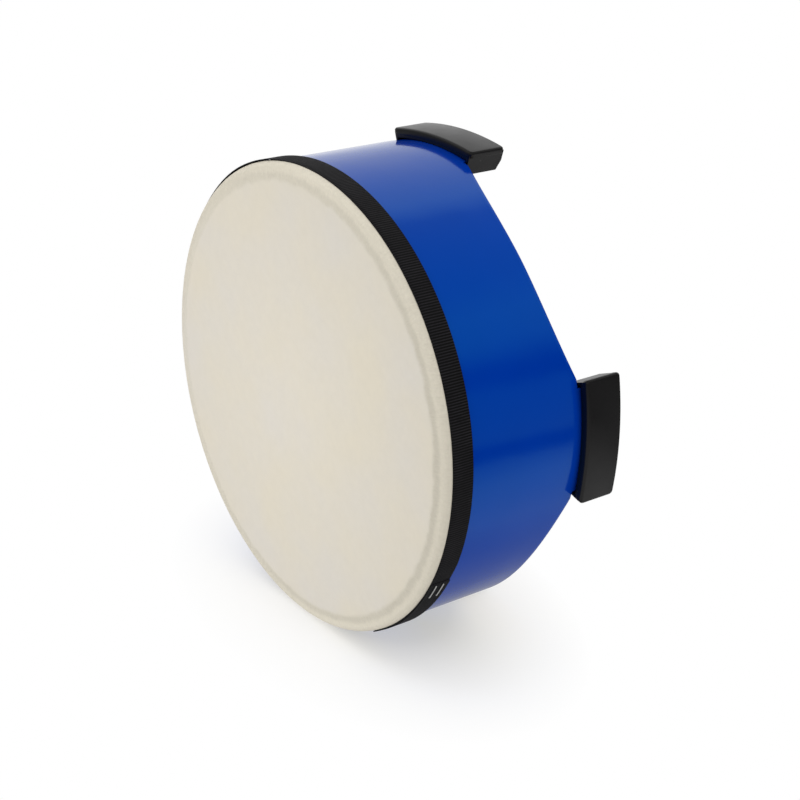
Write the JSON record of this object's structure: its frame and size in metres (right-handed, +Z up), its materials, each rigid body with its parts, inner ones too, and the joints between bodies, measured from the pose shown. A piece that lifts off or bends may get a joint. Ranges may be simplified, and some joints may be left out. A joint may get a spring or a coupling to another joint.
{
  "type": "floor drum",
  "caption": "Low round floor drum: skin head bound with black woven tape, glossy blue wooden shell with an arched lower rim, on black moulded feet.",
  "frame": {"origin": "on the floor under the middle of the drum", "axes": "+Z up along the drum's axis to the head, -Y through the middle of the arch that the picture shows, feet on the diagonals"},
  "size_m": [0.2541, 0.2542, 0.108],
  "materials": {
    "blue_lacquer": "gloss blue paint on bent wood",
    "rawhide": "natural scraped skin",
    "black_webbing": "woven ribbed tape",
    "black_plastic": "moulded, satin",
    "steel_wire": "bright galvanised wire",
    "zinc_steel": "zinc plated"
  },
  "bodies": {
    "root": {"shell": "blue_lacquer", "drum_head": "rawhide", "rim_tape": "black_webbing", "tape_staple_upper": "steel_wire", "tape_staple_lower": "steel_wire", "head_staple_01": "steel_wire", "head_staple_02": "steel_wire", "head_staple_03": "steel_wire", "head_staple_04": "steel_wire", "head_staple_05": "steel_wire", "head_staple_06": "steel_wire", "head_staple_07": "steel_wire", "head_staple_08": "steel_wire", "head_staple_09": "steel_wire", "head_staple_10": "steel_wire", "head_staple_11": "steel_wire", "head_staple_12": "steel_wire", "foot_front_left": "black_plastic", "foot_front_right": "black_plastic", "foot_back_left": "black_plastic", "foot_back_right": "black_plastic", "foot_screw_front_left_left": "zinc_steel", "foot_screw_front_left_right": "zinc_steel", "foot_screw_front_right_left": "zinc_steel", "foot_screw_front_right_right": "zinc_steel", "foot_screw_back_left_left": "zinc_steel", "foot_screw_back_left_right": "zinc_steel", "foot_screw_back_right_left": "zinc_steel", "foot_screw_back_right_right": "zinc_steel"}
  },
  "joints": []
}
